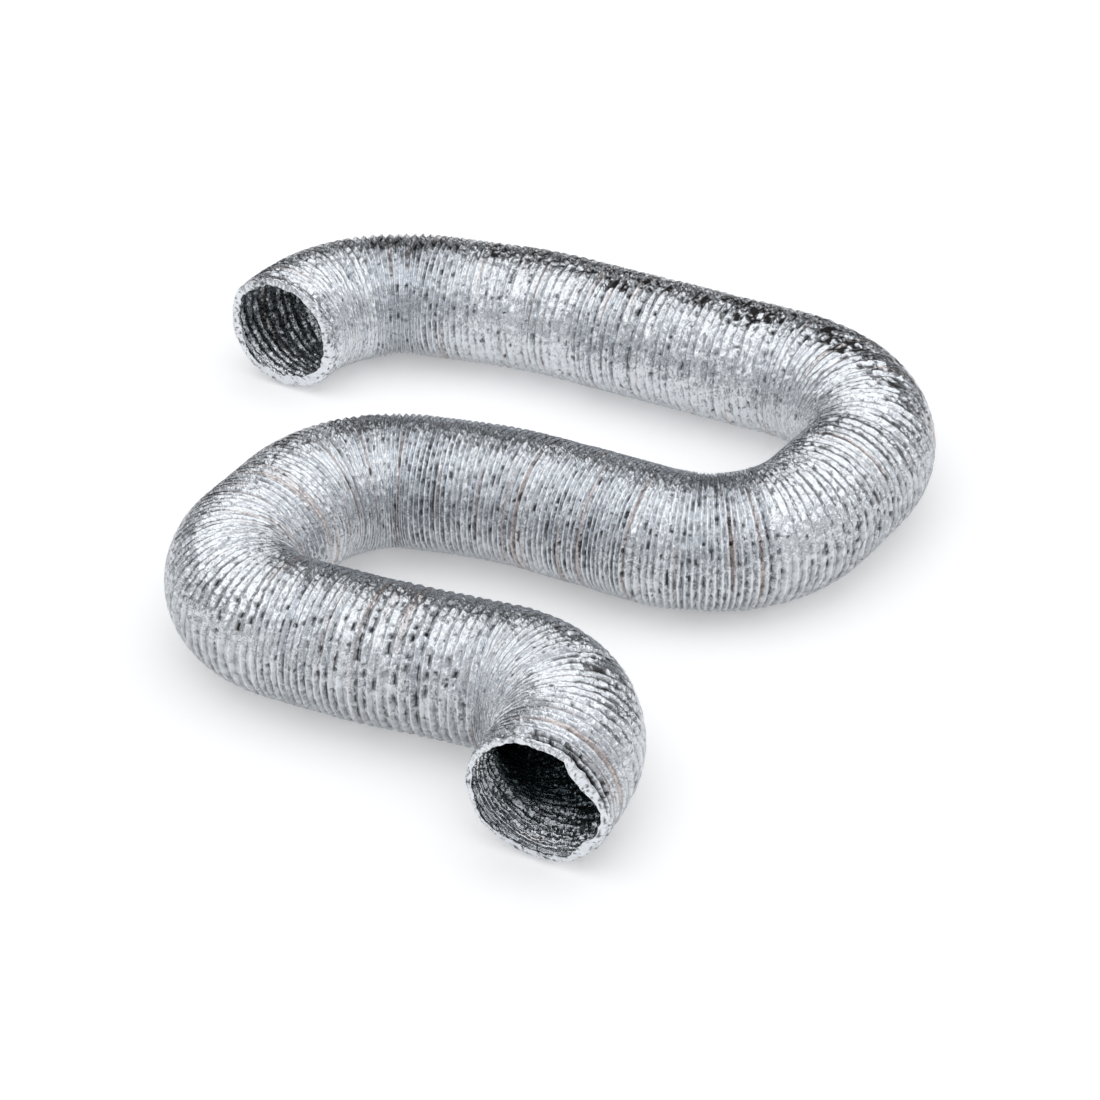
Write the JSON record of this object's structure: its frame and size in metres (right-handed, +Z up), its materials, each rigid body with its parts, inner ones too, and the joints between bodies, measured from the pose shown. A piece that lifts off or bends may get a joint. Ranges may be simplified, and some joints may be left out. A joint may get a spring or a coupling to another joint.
{
  "type": "flexible aluminium duct",
  "caption": "Round flexible duct of aluminium foil over a close wire spiral, laid in a long S, open at both mouths.",
  "frame": {"origin": "centre of the footprint, on the floor that the duct lies on", "axes": "+Z up, -Y towards the viewer of the picture, +X to the right"},
  "size_m": [0.5898, 0.7494, 0.106],
  "materials": {
    "foil": "crinkled bright foil"
  },
  "bodies": {
    "root": {"foil_duct": "foil"}
  },
  "joints": []
}
